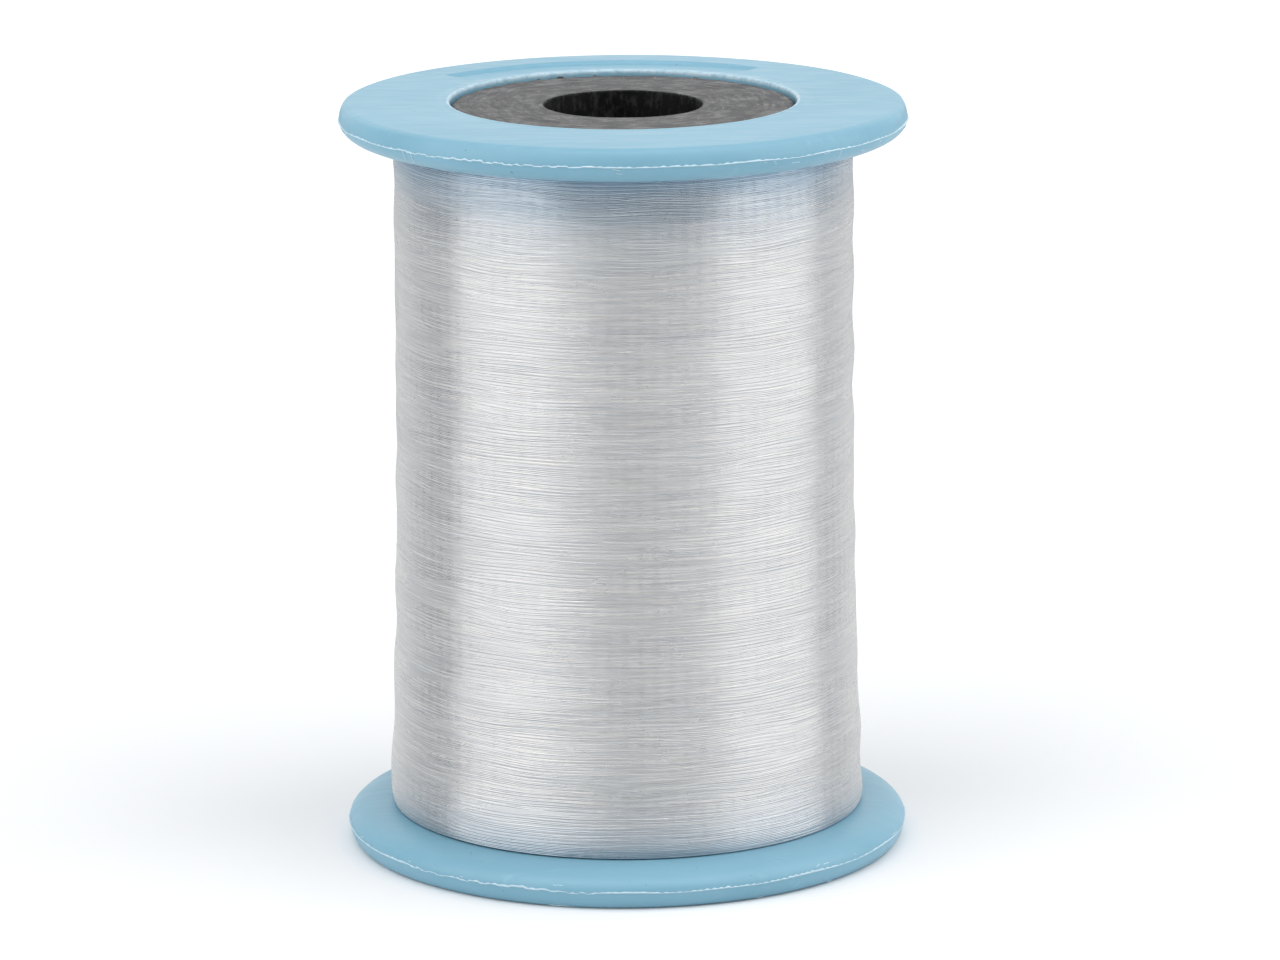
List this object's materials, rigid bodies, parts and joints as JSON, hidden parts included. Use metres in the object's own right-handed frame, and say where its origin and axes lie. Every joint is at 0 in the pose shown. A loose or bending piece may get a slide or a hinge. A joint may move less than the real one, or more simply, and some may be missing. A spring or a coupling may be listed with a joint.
{
  "type": "fishing line spool",
  "caption": "Straight flanged spool with round-edged discs, bushed core bore and clear nylon monofilament wound level across the barrel.",
  "frame": {"origin": "middle of the lower flange's outer face, which the spool stands on", "axes": "+Z along the spool's axis, up through the upper flange; +Y towards the side of the upper flange that has the label recess"},
  "size_m": [0.0804, 0.0804, 0.1069],
  "materials": {
    "moulded_plastic": "satin moulded polyethylene, light sky blue",
    "bush_plastic": "rough cut, dark grey",
    "nylon_line": "clear glossy nylon monofilament"
  },
  "bodies": {
    "root": {"spool_body": "moulded_plastic", "upper_core_bush": "bush_plastic", "lower_core_bush": "bush_plastic", "line_winding": "nylon_line"}
  },
  "joints": []
}
